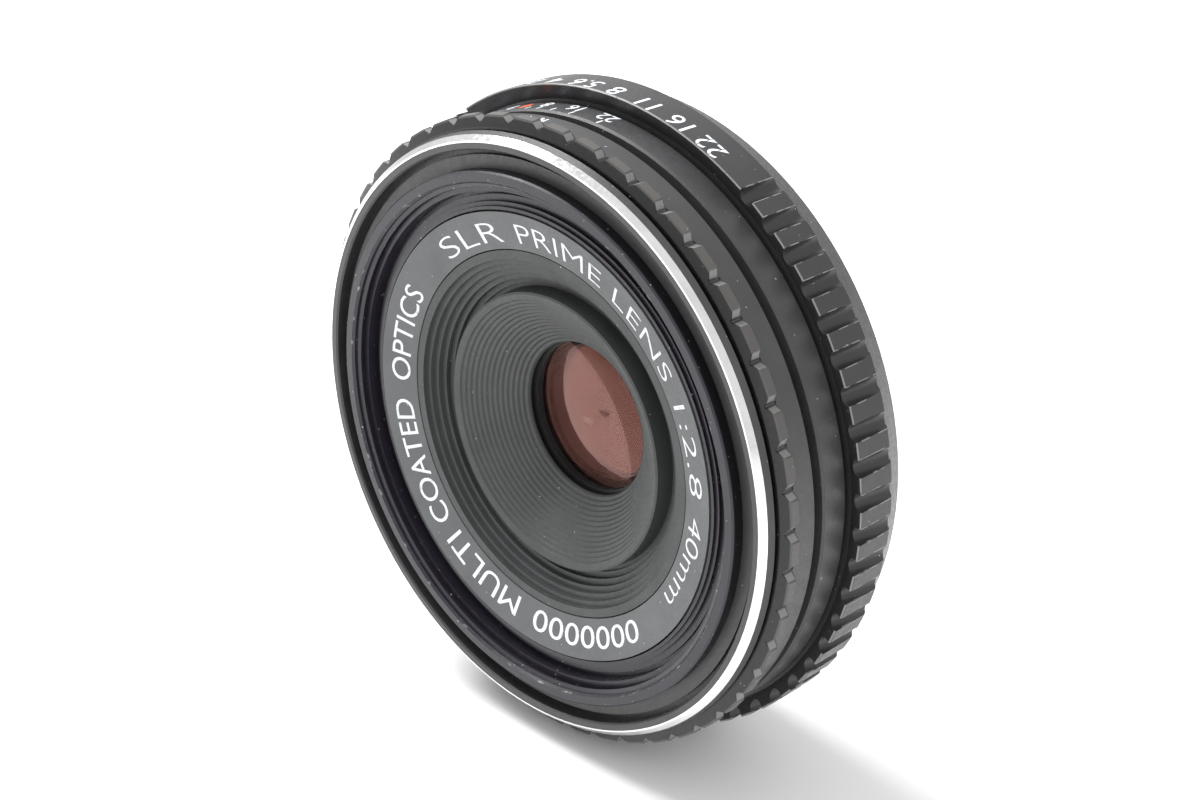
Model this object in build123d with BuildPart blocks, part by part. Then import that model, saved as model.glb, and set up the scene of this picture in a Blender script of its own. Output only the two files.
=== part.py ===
from build123d import *
from math import asin, cos, degrees, pi, radians, sin, sqrt
import os

os.makedirs("parts", exist_ok=True)

# Millimetres. +Z is up and the lens stands on its rim, with its optical axis along Y.
# The camera side of the bayonet flange is the plane Y = 0, and the front faces -Y.
# Profiles are drawn as (radius, distance in front of the flange plane).
PROFILE = Plane(origin=(0, 0, 0), x_dir=(1, 0, 0), z_dir=(0, 0, -1))


def across(s):
    """Plane square to the optical axis, s in front of the flange, seen from the front."""
    return Plane(origin=(0, -s, 0), x_dir=(1, 0, 0), z_dir=(0, -1, 0))


def outward(angle, s, r=0.0):
    """Plane whose normal is the outward radius at this angle, r from the axis."""
    a = radians(angle)
    return Plane(origin=(r * cos(a), -s, r * sin(a)), x_dir=(0, -1, 0), z_dir=(cos(a), 0, sin(a)))


def polar(r, angle):
    return (r * cos(radians(angle)), r * sin(radians(angle)))


def sag(radius, height):
    """Depth of a spherical surface at this height from its axis."""
    return radius - sqrt(radius**2 - height**2)


# Driving dimensions
MAX_R = 31.5  # aperture ring over its grip lands
FRONT_S = 18.0  # front of the filter ring, lens at infinity
FILTER_R = 24.5  # root radius of the M49 x 0.75 filter thread
THREAD_REAR = 16.75
RUN = 0.06  # radial clearance of a running fit
FLANGE_R = 28.5
FLANGE_T = 1.2
BAYONET_R = 22.2  # outside of the male bayonet tube
BAYONET_BORE = 20.0
LUG_R = 24.0
LUG_ANGLES = (30, 150, 270)
SCREW_CIRCLE_R = 25.25
SCREW_ANGLES = (0, 72, 144, 216, 288)

BARREL_R = 26.5  # under the aperture ring
SLEEVE_R = 28.4  # under the focus ring
SCALE_R = 29.7
FOCUS_R = 29.6  # smooth band of the focus ring
GRIP_R = 30.3  # tops of the focus ring's grip blocks
GRIP_COUNT = 50
TRIM_R = 28.8  # outside of the bright bevelled edge
FOCUS_TRAVEL = 3.1
SCALE_SCREW_ANGLES = (165, 225, 285)  # grub screws of the scale ring, away from its numbers

STOP_ANGLE = 7.02  # ring rotation for one stop
OPEN_TURN = 0.5 * STOP_ANGLE  # from the resting half stop to f/2.8
CLOSE_TURN = 5.5 * STOP_ANGLE  # from the resting half stop to f/22
SCALLOP_PITCH = 360 / 62
SCALLOP_COUNT = 51
SCALLOP_FIRST = 56.1
SCALLOP_WIDTH = 1.62
LAND_FRONT = 8.3
LAND_REAR = 4.1

BLADES = 5
BLADE_T = 0.08
BLADE_PITCH = 0.12
BLADE_TOP = 1.92
BLADE_IN_R = 5.6  # full opening of the iris
BLADE_OUT_R = 8.6
PIVOT_R = 9.2
PIN_R = 0.35
PIN_CLEAR = 0.05
SLOT_OVERRUN = 3.0  # degrees of cam slot past each end, so that the round pin never meets the slot's end
SMALLEST_R = 0.75
DRIVE_ARM = 2.2
DRIVE_ANGLE = 35.0
BLADE_SWING = 2 * degrees(asin((BLADE_IN_R - SMALLEST_R) / (2 * PIVOT_R)))
BLADE_RATIO = BLADE_SWING / (OPEN_TURN + CLOSE_TURN)
BLADE_REST = OPEN_TURN * BLADE_RATIO

ARM_ANGLE = 20.0  # arm that turns the iris cam ring
LEVER_ANGLE = 160.0  # stop-down lever that the camera works
LINK_ANGLE = 205.0  # screw that joins the aperture ring to the stop-down ring
CLICK_ANGLE = 312.0
KEY_ANGLES = (90, 270)

# ---------------------------------------------------------------- mount and fixed barrel
with BuildPart() as bayonet_mount:
    with BuildSketch(PROFILE):
        with BuildLine():
            Polyline(
                (BAYONET_BORE, -4.2),
                (BAYONET_R - 0.3, -4.2),
                (BAYONET_R, -3.9),
                (BAYONET_R, 0),
                (FLANGE_R - 0.25, 0),
                (FLANGE_R, 0.25),
                (FLANGE_R, FLANGE_T),
                (BAYONET_BORE, FLANGE_T),
                close=True,
            )
        make_face()
    revolve(axis=Axis.Y)
    with BuildSketch(across(-4.0)):
        for lug_angle in LUG_ANGLES:
            with Locations(polar(BAYONET_R + 0.6, lug_angle)):
                Rectangle(2.4, 22.0, rotation=lug_angle)
        Circle(LUG_R, mode=Mode.INTERSECT)
        Circle(BAYONET_R - 0.2, mode=Mode.SUBTRACT)
    extrude(amount=1.4)
    with Locations(*[across(0) * Location((*polar(SCREW_CIRCLE_R, a), 0)) for a in SCREW_ANGLES]):
        Cylinder(0.85, 4 * FLANGE_T, mode=Mode.SUBTRACT)
    with Locations(*[across(0.36) * Location((*polar(SCREW_CIRCLE_R, a), 0)) for a in SCREW_ANGLES]):
        Cone(1.45, 0.85, 0.74, mode=Mode.SUBTRACT)
    with Locations(across(0.3) * Location((*polar(26.6, 122), 0))):
        Cylinder(0.95, 0.62, mode=Mode.SUBTRACT)
    with Locations(across(0.4) * Location((*polar(27.4, 250), 0))):
        Cylinder(0.9, 0.82, mode=Mode.SUBTRACT)
bayonet_mount.part.label = "bayonet_mount"
export_step(bayonet_mount.part, "parts/bayonet_mount.step")

with BuildPart() as alignment_dot:
    with Locations(across(0.3) * Location((*polar(26.6, 122), 0))):
        Cylinder(0.93, 0.56)
alignment_dot.part.label = "alignment_dot"
export_step(alignment_dot.part, "parts/alignment_dot.step")

with BuildPart() as mount_screws:
    for screw_angle in SCREW_ANGLES:
        with Locations(across(0.37) * Location((*polar(SCREW_CIRCLE_R, screw_angle), 0))):
            Cone(1.4, 0.8, 0.68)
        with Locations(across(2.4) * Location((*polar(SCREW_CIRCLE_R, screw_angle), 0))):
            Cylinder(0.8, 3.4)
        with Locations(across(0.1) * Location((*polar(SCREW_CIRCLE_R, screw_angle), 45))):
            Box(1.5, 0.28, 0.5, mode=Mode.SUBTRACT)
            Box(0.28, 1.5, 0.5, mode=Mode.SUBTRACT)
mount_screws.part.label = "mount_screws"
export_step(mount_screws.part, "parts/mount_screws.step")

with BuildPart() as main_barrel:
    with BuildSketch(PROFILE):
        with BuildLine():
            Polyline(
                (24.0, FLANGE_T + 0.02),
                (BARREL_R, FLANGE_T + 0.02),
                (BARREL_R, 7.9),
                (SLEEVE_R, 7.9),
                (SLEEVE_R, 15.5),
                (SLEEVE_R - 0.15, 15.6),
                (25.9, 15.6),
                (25.9, 8.9),
                (20.6, 8.9),
                (20.6, 8.0),
                (24.0, 8.0),
                close=True,
            )
        make_face()
    revolve(axis=Axis.Y)
    with Locations(*[across(2.9) * Location((*polar(SCREW_CIRCLE_R, a), 0)) for a in SCREW_ANGLES]):
        Cylinder(0.82, 3.6, mode=Mode.SUBTRACT)
    with BuildSketch(across(5.6)) as link_slot:
        with BuildLine():
            Polyline(
                (0, 0),
                polar(34, LINK_ANGLE - OPEN_TURN - 2.4),
                polar(34, LINK_ANGLE),
                polar(34, LINK_ANGLE + CLOSE_TURN + 2.4),
                close=True,
            )
        make_face()
        Circle(BARREL_R + 0.5, mode=Mode.INTERSECT)
    extrude(amount=1.6, mode=Mode.SUBTRACT)
    with Locations(outward(CLICK_ANGLE, 6.4, 25.0)):
        Cylinder(0.63, 4.0, mode=Mode.SUBTRACT)
    with Locations(outward(294, 6.4, 24.6)):
        Cylinder(0.42, 2.2, mode=Mode.SUBTRACT)
    with Locations(*[outward(a, 9.5, 28.0) for a in SCALE_SCREW_ANGLES]):
        Cylinder(0.62, 1.8, mode=Mode.SUBTRACT)
    with Locations(*[across(8.4) * Location((*polar(21.9, a), 0)) for a in KEY_ANGLES]):
        Cylinder(0.52, 2.0, mode=Mode.SUBTRACT)
main_barrel.part.label = "main_barrel"
export_step(main_barrel.part, "parts/main_barrel.step")

with BuildPart() as scale_ring:
    with BuildSketch(PROFILE):
        with BuildLine():
            Polyline(
                (SLEEVE_R + 0.02, 7.92),
                (SCALE_R - 0.35, 7.92),
                (SCALE_R, 8.3),
                (SCALE_R, 10.85),
                (SCALE_R - 0.2, 11.05),
                (SLEEVE_R + 0.02, 11.05),
                close=True,
            )
        make_face()
    revolve(axis=Axis.Y)
    with Locations(*[outward(a, 9.5, 29.2) for a in SCALE_SCREW_ANGLES]):
        Cylinder(0.62, 2.4, mode=Mode.SUBTRACT)
scale_ring.part.label = "scale_ring"
export_step(scale_ring.part, "parts/scale_ring.step")

with BuildPart() as scale_ring_screws:
    for screw_angle in SCALE_SCREW_ANGLES:
        with Locations(outward(screw_angle, 9.5, 28.55)):
            Cylinder(0.6, 2.1)
        with Locations(outward(screw_angle, 9.5, 29.6)):
            Box(0.25, 1.4, 0.7, mode=Mode.SUBTRACT)
scale_ring_screws.part.label = "scale_ring_screws"
export_step(scale_ring_screws.part, "parts/scale_ring_screws.step")

with BuildPart() as guide_keys:
    for key_angle in KEY_ANGLES:
        with Locations(outward(key_angle, 7.45, 19.95)):
            Box(1.06, 3.0, 5.9)
        with Locations(across(6.7) * Location((*polar(21.9, key_angle), 0))):
            Cylinder(0.55, 4.0, mode=Mode.SUBTRACT)
guide_keys.part.label = "guide_keys"
export_step(guide_keys.part, "parts/guide_keys.step")

with BuildPart() as guide_key_screws:
    for key_angle in KEY_ANGLES:
        with Locations(across(7.65) * Location((*polar(21.9, key_angle), 0))):
            Cylinder(0.5, 1.9)
        with Locations(across(6.55) * Location((*polar(21.9, key_angle), 0))):
            Cylinder(0.95, 0.6)
            Box(1.3, 0.25, 0.8, mode=Mode.SUBTRACT)
guide_key_screws.part.label = "guide_key_screws"
export_step(guide_key_screws.part, "parts/guide_key_screws.step")

with BuildPart() as click_plunger:
    with Locations(outward(CLICK_ANGLE, 6.4, 24.88)):
        Cylinder(0.6, 1.9)
    with Locations(outward(CLICK_ANGLE, 6.4, 25.82)):
        Sphere(0.6)
click_plunger.part.label = "click_plunger"
export_step(click_plunger.part, "parts/click_plunger.step")

with BuildPart() as click_spring:
    with BuildSketch(across(5.8)):
        with BuildLine():
            Polyline((0, 0), polar(30, 291), polar(30, 303), polar(30, 315), close=True)
        make_face()
        Circle(23.9, mode=Mode.INTERSECT)
        Circle(23.7, mode=Mode.SUBTRACT)
    extrude(amount=1.2)
    with Locations(outward(294, 6.4, 23.8)):
        Cylinder(0.42, 1.5, mode=Mode.SUBTRACT)
click_spring.part.label = "click_spring"
export_step(click_spring.part, "parts/click_spring.step")

with BuildPart() as click_spring_screw:
    with Locations(outward(294, 6.4, 24.2)):
        Cylinder(0.4, 1.4)
    with Locations(outward(294, 6.4, 23.5)):
        Cylinder(0.7, 0.36)
click_spring_screw.part.label = "click_spring_screw"
export_step(click_spring_screw.part, "parts/click_spring_screw.step")

# ---------------------------------------------------------------- aperture ring and its linkage
with BuildPart() as aperture_ring:
    with BuildSketch(PROFILE):
        with BuildLine():
            Polyline(
                (FLANGE_R + 0.2, 1.14),
                (29.85, 1.14),
                (30.0, 1.3),
                (31.1, 4.02),
                (MAX_R - 0.12, LAND_REAR - 0.02),
                (MAX_R, LAND_REAR + 0.12),
                (MAX_R, LAND_FRONT - 0.12),
                (MAX_R - 0.12, LAND_FRONT),
                (29.95, 7.7),
                (BARREL_R + RUN, 7.7),
                (BARREL_R + RUN, 5.2),
                (FLANGE_R + 0.2, 5.2),
                close=True,
            )
        make_face()
    revolve(axis=Axis.Y)
    with BuildPart(mode=Mode.PRIVATE) as scallop:
        with BuildSketch(Plane(origin=(30.2 + SCALLOP_WIDTH / 2, -9.0, 0), x_dir=(1, 0, 0), z_dir=(0.187, 0.982, 0))):
            with BuildLine():
                Polyline(
                    (0, -SCALLOP_WIDTH / 2),
                    (3, -SCALLOP_WIDTH / 2),
                    (3, SCALLOP_WIDTH / 2),
                    (0, SCALLOP_WIDTH / 2),
                )
                ThreePointArc(
                    (0, SCALLOP_WIDTH / 2),
                    (-SCALLOP_WIDTH / 2, 0),
                    (0, -SCALLOP_WIDTH / 2),
                )
            make_face()
        extrude(amount=5.6)
    for i in range(SCALLOP_COUNT):
        add(
            scallop.part.rotate(Axis.Y, -(SCALLOP_FIRST - i * SCALLOP_PITCH)),
            mode=Mode.SUBTRACT,
        )
    with BuildSketch(across(5.0)):
        for i in range(13):
            notch = CLICK_ANGLE + OPEN_TURN - 0.5 * STOP_ANGLE * i
            with Locations(polar(BARREL_R + 0.25, notch)):
                Circle(0.5)
    extrude(amount=3.0, mode=Mode.SUBTRACT)
    with Locations(outward(LINK_ANGLE, 6.4, 28.0)):
        Cylinder(0.62, 3.4, mode=Mode.SUBTRACT)
aperture_ring.part.label = "aperture_ring"
export_step(aperture_ring.part, "parts/aperture_ring.step")

with BuildPart() as aperture_link_screw:
    with Locations(outward(LINK_ANGLE, 6.4, 26.0)):
        Cylinder(0.6, 7.2)
aperture_link_screw.part.label = "aperture_link_screw"
export_step(aperture_link_screw.part, "parts/aperture_link_screw.step")

with BuildPart() as stop_down_ring:
    with BuildSketch(across(1.6)):
        Circle(24.0 - RUN)
        Circle(21.2, mode=Mode.SUBTRACT)
    extrude(amount=1.0)
    with BuildSketch(across(1.6)):
        with Locations(polar(20.7, ARM_ANGLE)):
            Rectangle(3.4, 4.6, rotation=ARM_ANGLE)
        with Locations(polar(20.6, LEVER_ANGLE)):
            Rectangle(3.6, 3.0, rotation=LEVER_ANGLE)
    extrude(amount=1.0)
    # The cam ring's arm slides through this notch as the lens focuses.
    with BuildSketch(across(1.6)):
        with Locations(polar(19.1, ARM_ANGLE)):
            Rectangle(1.1, 2.16, rotation=ARM_ANGLE)
    extrude(amount=1.0, mode=Mode.SUBTRACT)
    for side in (-1, 1):
        prong = across(0.7) * Location((0, 0, 0), (0, 0, ARM_ANGLE)) * Location((19.1, side * 1.68, 0))
        with Locations(prong):
            Box(1.3, 1.2, 4.1, align=(Align.CENTER, Align.CENTER, Align.MIN))
    for side in (-1, 1):
        post = across(2.5) * Location((0, 0, 0), (0, 0, LINK_ANGLE)) * Location((23.1, side * 1.14, 0))
        with Locations(post):
            Box(1.2, 0.95, 4.9, align=(Align.CENTER, Align.CENTER, Align.MIN))
    lever = across(-5.2) * Location((0, 0, 0), (0, 0, LEVER_ANGLE)) * Location((19.2, 0, 0))
    with Locations(lever):
        Box(0.8, 3.0, 7.8, align=(Align.CENTER, Align.CENTER, Align.MIN))
stop_down_ring.part.label = "stop_down_ring"
export_step(stop_down_ring.part, "parts/stop_down_ring.step")

# ---------------------------------------------------------------- lens block that moves to focus
with BuildPart() as inner_barrel:
    with BuildSketch(PROFILE):
        with BuildLine():
            Polyline(
                (14.6, -0.9),
                (18.0, -0.9),
                (18.0, 9.2),
                (25.9 - RUN, 9.2),
                (25.9 - RUN, 16.4),
                (25.24, 16.4),
                (25.24, 13.0),
                (24.0, 13.0),
                (24.0, 10.4),
                (14.6, 10.4),
                close=True,
            )
        make_face()
    revolve(axis=Axis.Y)
    with BuildSketch(across(0.5)):
        with BuildLine():
            Polyline(
                (0, 0),
                polar(20, ARM_ANGLE - OPEN_TURN - 5),
                polar(20, ARM_ANGLE),
                polar(20, ARM_ANGLE + CLOSE_TURN + 5),
                close=True,
            )
        make_face()
    extrude(amount=1.1, mode=Mode.SUBTRACT)
    for key_angle in KEY_ANGLES:
        with Locations(outward(key_angle, 4.0, 18.4)):
            Box(16.4, 3.1, 3.0, mode=Mode.SUBTRACT)
inner_barrel.part.label = "inner_barrel"
export_step(inner_barrel.part, "parts/inner_barrel.step")

with BuildPart() as focus_retainer:
    with BuildSketch(PROFILE):
        with BuildLine():
            Polyline((25.24, 16.44), (26.9, 16.44), (26.9, 16.76), (25.24, 16.76), close=True)
        make_face()
    revolve(axis=Axis.Y)
focus_retainer.part.label = "focus_retainer"
export_step(focus_retainer.part, "parts/focus_retainer.step")

with BuildPart() as filter_ring:
    with BuildSketch(PROFILE):
        with BuildLine():
            Polyline(
                (23.6, THREAD_REAR),
                (FILTER_R, THREAD_REAR),
                (FILTER_R, FRONT_S - 0.25),
                (FILTER_R + 0.2, FRONT_S),
                (25.5, FRONT_S),
                (25.65, FRONT_S - 0.15),
                (25.65, 16.8),
                (25.22, 16.8),
                (25.22, 13.04),
                (22.4, 13.04),
                (22.4, 14.6),
                (23.6, 14.6),
                close=True,
            )
        make_face()
    revolve(axis=Axis.Y)
filter_ring.part.label = "filter_ring"
export_step(filter_ring.part, "parts/filter_ring.step")

with BuildPart() as step_ring:
    with BuildSketch(PROFILE):
        with BuildLine():
            Polyline(
                (21.8, 14.64),
                (23.56, 14.64),
                (23.56, 15.5),
                (23.1, 15.5),
                (23.1, 15.85),
                (22.5, 15.85),
                (22.5, 16.2),
                (22.1, 16.2),
                (22.1, 16.45),
                (21.8, 16.45),
                close=True,
            )
        make_face()
    revolve(axis=Axis.Y)
step_ring.part.label = "step_ring"
export_step(step_ring.part, "parts/step_ring.step")

with BuildPart() as name_ring:
    with BuildSketch(PROFILE):
        with BuildLine():
            Polyline(
                (17.9, 14.5),
                (21.64, 14.5),
                (21.64, 16.56),
                (17.9, 15.41),
                close=True,
            )
        make_face()
    revolve(axis=Axis.Y)
name_ring.part.label = "name_ring"
export_step(name_ring.part, "parts/name_ring.step")

with BuildPart() as front_hood:
    with BuildSketch(PROFILE):
        with BuildLine():
            stair = [(17.78, 13.2), (17.78, 15.36), (16.95, 15.36)]
            for i in range(5):
                stair.append((16.95 - 0.56 * i, 14.86 - 0.5 * i))
                stair.append((16.39 - 0.56 * i, 14.86 - 0.5 * i))
            stair += [(14.15, 12.6), (13.75, 12.6), (13.6, 14.4), (13.4, 14.5), (13.1, 14.4)]
            rings = 14
            for i in range(rings):
                r = 13.1 - (13.1 - 7.6) * (i + 1) / rings
                s = 14.4 - (14.4 - 9.9) * i / rings
                stair.append((r + 0.12, s - 0.10))
                stair.append((r, s - 0.32))
            stair += [(7.6, 9.72), (8.3, 9.45), (9.0, 9.5), (13.9, 12.0), (14.6, 12.1), (16.9, 13.2)]
            Polyline(*stair, close=True)
        make_face()
    revolve(axis=Axis.Y)
front_hood.part.label = "front_hood"
export_step(front_hood.part, "parts/front_hood.step")

with BuildPart() as hood_carrier:
    with BuildSketch(PROFILE):
        with BuildLine():
            Polyline(
                (14.7, 10.44),
                (23.9, 10.44),
                (23.9, 13.0),
                (22.36, 13.0),
                (22.36, 14.46),
                (17.9, 14.46),
                (17.9, 13.16),
                (17.0, 13.16),
                (17.0, 11.6),
                (14.7, 11.6),
                close=True,
            )
        make_face()
    revolve(axis=Axis.Y)
hood_carrier.part.label = "hood_carrier"
export_step(hood_carrier.part, "parts/hood_carrier.step")

with BuildPart() as front_cell:
    with BuildSketch(PROFILE):
        with BuildLine():
            Polyline(
                (6.9, 2.75),
                (11.0, 2.75),
                (11.0, 9.0),
                (14.56, 9.0),
                (14.56, 9.8),
                (8.6, 9.3),
                (8.6, 9.2),
                (7.86, 9.2),
                (7.86, 7.58),
                (7.0, 7.58),
                (7.0, 5.6),
                (6.3, 5.6),
                (6.3, 5.22),
                (6.9, 5.22),
                close=True,
            )
        make_face()
    revolve(axis=Axis.Y)
front_cell.part.label = "front_cell"
export_step(front_cell.part, "parts/front_cell.step")

E1_R, E1_CURVE, E1_TOP, E1_BACK = 7.82, 24.0, 9.6, 7.6
with BuildPart() as front_element:
    with BuildSketch(PROFILE):
        with BuildLine():
            ThreePointArc(
                (0, E1_TOP),
                (E1_R / 2, E1_TOP - sag(E1_CURVE, E1_R / 2)),
                (E1_R, E1_TOP - sag(E1_CURVE, E1_R)),
            )
            Polyline((E1_R, E1_TOP - sag(E1_CURVE, E1_R)), (E1_R, E1_BACK), (0, E1_BACK), (0, E1_TOP))
        make_face()
    revolve(axis=Axis.Y)
front_element.part.label = "front_element"
export_step(front_element.part, "parts/front_element.step")

with BuildPart() as front_retaining_ring:
    with BuildSketch(PROFILE):
        with BuildLine():
            Polyline((7.35, 8.47), (7.84, 8.34), (7.84, 9.15), (7.35, 9.15), close=True)
        make_face()
    revolve(axis=Axis.Y)
front_retaining_ring.part.label = "front_retaining_ring"
export_step(front_retaining_ring.part, "parts/front_retaining_ring.step")

E2_R, E2_CURVE, E2_TOP, E2_BACK = 6.96, 22.0, 7.4, 5.62
with BuildPart() as second_element:
    with BuildSketch(PROFILE):
        with BuildLine():
            ThreePointArc(
                (0, E2_TOP),
                (E2_R / 2, E2_TOP - sag(E2_CURVE, E2_R / 2)),
                (E2_R, E2_TOP - sag(E2_CURVE, E2_R)),
            )
            Polyline((E2_R, E2_TOP - sag(E2_CURVE, E2_R)), (E2_R, E2_BACK), (0, E2_BACK), (0, E2_TOP))
        make_face()
    revolve(axis=Axis.Y)
second_element.part.label = "second_element"
export_step(second_element.part, "parts/second_element.step")

with BuildPart() as element_spacer:
    with BuildSketch(PROFILE):
        with BuildLine():
            Polyline((6.4, 6.45), (6.96, 6.35), (6.96, 7.56), (6.4, 7.56), close=True)
        make_face()
    revolve(axis=Axis.Y)
element_spacer.part.label = "element_spacer"
export_step(element_spacer.part, "parts/element_spacer.step")

E3_R, E3_CURVE, E3_TOP, E3_BACK, E3_CLEAR = 6.86, 13.0, 5.2, 4.4, 5.8
with BuildPart() as third_element:
    with BuildSketch(PROFILE):
        with BuildLine():
            ThreePointArc(
                (0, E3_BACK),
                (E3_CLEAR / 2, E3_BACK - sag(E3_CURVE, E3_CLEAR / 2)),
                (E3_CLEAR, E3_BACK - sag(E3_CURVE, E3_CLEAR)),
            )
            Polyline(
                (E3_CLEAR, E3_BACK - sag(E3_CURVE, E3_CLEAR)),
                (E3_R, E3_BACK - sag(E3_CURVE, E3_CLEAR)),
                (E3_R, E3_TOP),
                (0, E3_TOP),
                (0, E3_BACK),
            )
        make_face()
    revolve(axis=Axis.Y)
third_element.part.label = "third_element"
export_step(third_element.part, "parts/third_element.step")

with BuildPart() as middle_retaining_ring:
    with BuildSketch(PROFILE):
        with BuildLine():
            Polyline((5.9, 2.75), (6.88, 2.75), (6.88, 3.0), (5.9, 3.0), close=True)
        make_face()
    revolve(axis=Axis.Y)
middle_retaining_ring.part.label = "middle_retaining_ring"
export_step(middle_retaining_ring.part, "parts/middle_retaining_ring.step")

# ---------------------------------------------------------------- iris
with BuildPart() as iris_base:
    with BuildSketch(PROFILE):
        with BuildLine():
            Polyline(
                (BLADE_IN_R, 2.05),
                (5.9, 2.0),
                (12.6, 2.0),
                (12.6, 0.1),
                (14.56, 0.1),
                (14.56, 2.6),
                (5.9, 2.6),
                (BLADE_IN_R, 2.5),
                close=True,
            )
        make_face()
    revolve(axis=Axis.Y)
    with Locations(across(2.2)):
        with PolarLocations(PIVOT_R, BLADES):
            Cylinder(PIN_R + PIN_CLEAR, 2.0, mode=Mode.SUBTRACT)
    with BuildSketch(across(0.5)):
        with BuildLine():
            Polyline(
                (0, 0),
                polar(18, ARM_ANGLE - OPEN_TURN - 6),
                polar(18, ARM_ANGLE),
                polar(18, ARM_ANGLE + CLOSE_TURN + 6),
                close=True,
            )
        make_face()
        Circle(12.5, mode=Mode.SUBTRACT)
    extrude(amount=1.1, mode=Mode.SUBTRACT)
iris_base.part.label = "iris_base"
export_step(iris_base.part, "parts/iris_base.step")

BLADE_PIVOT = (PIVOT_R, 0.0)
DRIVE_POINT = (
    PIVOT_R + DRIVE_ARM * cos(radians(DRIVE_ANGLE)),
    DRIVE_ARM * sin(radians(DRIVE_ANGLE)),
)
for k in range(BLADES):
    top = BLADE_TOP - k * BLADE_PITCH
    turned = Location((PIVOT_R, 0, 0), (0, 0, BLADE_REST)) * Location((-PIVOT_R, 0, 0))
    seat = Location((0, 0, 0), (0, 0, 360 / BLADES * k)) * turned
    with BuildPart() as blade:
        with BuildSketch(across(top - BLADE_T) * seat):
            Circle(BLADE_OUT_R)
            Circle(BLADE_IN_R, mode=Mode.SUBTRACT)
            with BuildLine():
                Polyline((0, 0), (14, 0), polar(14, 45), polar(14, 90), polar(14, 135), close=True)
            make_face(mode=Mode.INTERSECT)
            with Locations(polar((BLADE_IN_R + BLADE_OUT_R) / 2, 135)):
                Circle((BLADE_OUT_R - BLADE_IN_R) / 2)
            with Locations(polar((BLADE_IN_R + BLADE_OUT_R) / 2, 0)):
                Circle((BLADE_OUT_R - BLADE_IN_R) / 2)
            with Locations(BLADE_PIVOT):
                Circle(0.9)
            with Locations(DRIVE_POINT):
                Circle(0.72)
            with BuildLine():
                Polyline(
                    (PIVOT_R + 0.45, -0.72),
                    (DRIVE_POINT[0] + 0.35, DRIVE_POINT[1] - 0.6),
                    (DRIVE_POINT[0] - 0.35, DRIVE_POINT[1] + 0.6),
                    (PIVOT_R - 0.55, 0.72),
                    close=True,
                )
            make_face()
        extrude(amount=BLADE_T)
        with Locations(across(top - 0.01) * seat * Location((*BLADE_PIVOT, 0))):
            Cylinder(PIN_R, 2.42 - top, align=(Align.CENTER, Align.CENTER, Align.MIN))
        with Locations(across(0.9) * seat * Location((*DRIVE_POINT, 0))):
            Cylinder(PIN_R, top - 0.92, align=(Align.CENTER, Align.CENTER, Align.MIN))
    blade.part.label = f"iris_blade_{k + 1}"
    export_step(blade.part, f"parts/iris_blade_{k + 1}.step")

with BuildPart() as iris_cam_ring:
    with BuildSketch(across(0.8)):
        Circle(12.6 - RUN)
        Circle(7.0, mode=Mode.SUBTRACT)
        with Locations(polar(15.4, ARM_ANGLE)):
            Rectangle(8.0, 2.0, rotation=ARM_ANGLE)
    extrude(amount=0.5)
    slot_line = []
    for i in range(17):
        turn = -OPEN_TURN - SLOT_OVERRUN + (OPEN_TURN + CLOSE_TURN + 2 * SLOT_OVERRUN) * i / 16
        swing = radians(DRIVE_ANGLE + BLADE_REST + BLADE_RATIO * turn)
        x = PIVOT_R + DRIVE_ARM * cos(swing)
        y = DRIVE_ARM * sin(swing)
        a = radians(-turn)
        slot_line.append((x * cos(a) - y * sin(a), x * sin(a) + y * cos(a)))
    half = PIN_R + PIN_CLEAR
    left = []
    right = []
    for i in range(17):
        ahead = slot_line[min(i + 1, 16)]
        behind = slot_line[max(i - 1, 0)]
        length = sqrt((ahead[0] - behind[0]) ** 2 + (ahead[1] - behind[1]) ** 2)
        nx = -(ahead[1] - behind[1]) / length * half
        ny = (ahead[0] - behind[0]) / length * half
        left.append((slot_line[i][0] + nx, slot_line[i][1] + ny))
        right.append((slot_line[i][0] - nx, slot_line[i][1] - ny))
    with BuildSketch(across(0.8)):
        for k in range(BLADES):
            with BuildLine(Location((0, 0, 0), (0, 0, 72 * k))):
                Spline(*left)
                Line(left[-1], right[-1])
                Spline(*reversed(right))
                Line(right[0], left[0])
            make_face()
    extrude(amount=0.5, mode=Mode.SUBTRACT)
iris_cam_ring.part.label = "iris_cam_ring"
export_step(iris_cam_ring.part, "parts/iris_cam_ring.step")

with BuildPart() as iris_cover:
    with BuildSketch(PROFILE):
        with BuildLine():
            Polyline((7.4, 0.1), (12.56, 0.1), (12.56, 0.7), (7.4, 0.7), close=True)
        make_face()
    revolve(axis=Axis.Y)
iris_cover.part.label = "iris_cover"
export_step(iris_cover.part, "parts/iris_cover.step")

# ---------------------------------------------------------------- rear group
with BuildPart() as rear_cell:
    with BuildSketch(PROFILE):
        with BuildLine():
            Polyline(
                (6.36, -3.95),
                (8.3, -3.95),
                (8.6, -3.6),
                (8.6, -0.9),
                (14.56, -0.9),
                (14.56, 0.06),
                (7.2, 0.06),
                (7.2, 0.72),
                (6.36, 0.78),
                close=True,
            )
        make_face()
    revolve(axis=Axis.Y)
rear_cell.part.label = "rear_cell"
export_step(rear_cell.part, "parts/rear_cell.step")

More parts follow.
